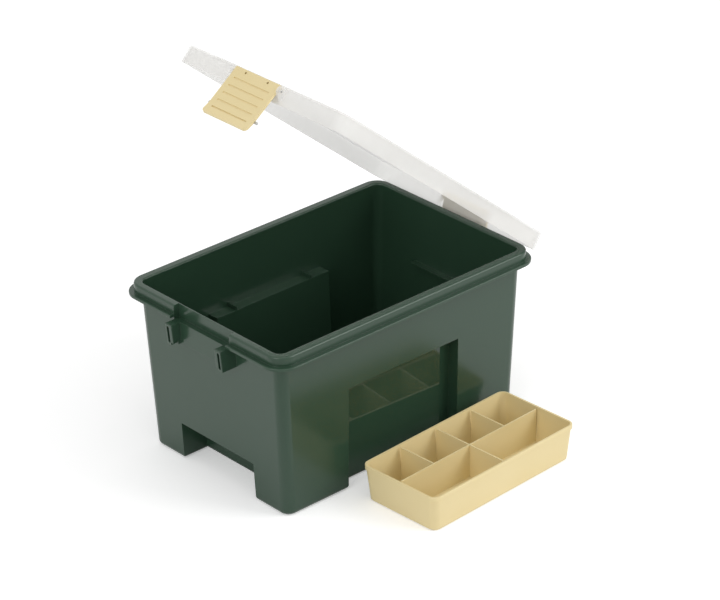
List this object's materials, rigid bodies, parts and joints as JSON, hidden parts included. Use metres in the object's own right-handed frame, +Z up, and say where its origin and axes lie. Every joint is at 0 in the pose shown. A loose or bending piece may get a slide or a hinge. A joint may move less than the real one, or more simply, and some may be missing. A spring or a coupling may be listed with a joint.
{
  "type": "tackle station box",
  "caption": "Deep lidded tackle box with a rim, hand recesses, a lift-up lid on latch hinges at its ends, and a loose compartment tray.",
  "frame": {"origin": "middle of the tub's underside, on the ground", "axes": "+X to the end the lid hinges at, +Y to the back, +Z up; the tray stands at -Y"},
  "size_m": [0.4177, 0.3893, 0.4711],
  "materials": {
    "green_plastic": "glossy moulded plastic",
    "clear_plastic": "frosted translucent plastic",
    "cream_plastic": "satin moulded plastic",
    "steel": "plain drawn rod"
  },
  "bodies": {
    "tub": {"tub": "green_plastic"},
    "right_latch": {"right_latch": "cream_plastic", "right_catch_rod": "steel"},
    "lid": {"lid": "clear_plastic", "left_hinge_pin": "steel", "right_hinge_pin": "steel"},
    "left_latch": {"left_latch": "cream_plastic", "left_catch_rod": "steel"},
    "tray": {"tray": "cream_plastic"}
  },
  "joints": [
    {"name": "right_latch_swing", "type": "hinge", "parent": "tub", "child": "right_latch", "pos_m": [0.19562, 0, 0.16857], "axis": [0, 1, 0], "range_deg": [-12.7, 17.7]},
    {"name": "lid_hinge", "type": "hinge", "parent": "right_latch", "child": "lid", "pos_m": [0.20899, 0, 0.21049], "axis": [0, 1, 0], "range_deg": [-27, 37.6]},
    {"name": "left_latch_swing", "type": "hinge", "parent": "lid", "child": "left_latch", "pos_m": [-0.09792, 0, 0.46529], "axis": [0, 1, 0], "range_deg": [-19.1, 80]},
    {"name": "tray_lift", "type": "slide", "parent": "tub", "child": "tray", "axis": [0, 0, 1], "range_m": [0, 0.14]}
  ],
  "couplings": [
    {"joint": "right_latch_swing", "follows": "lid_hinge", "ratio": 0.47037}
  ]
}
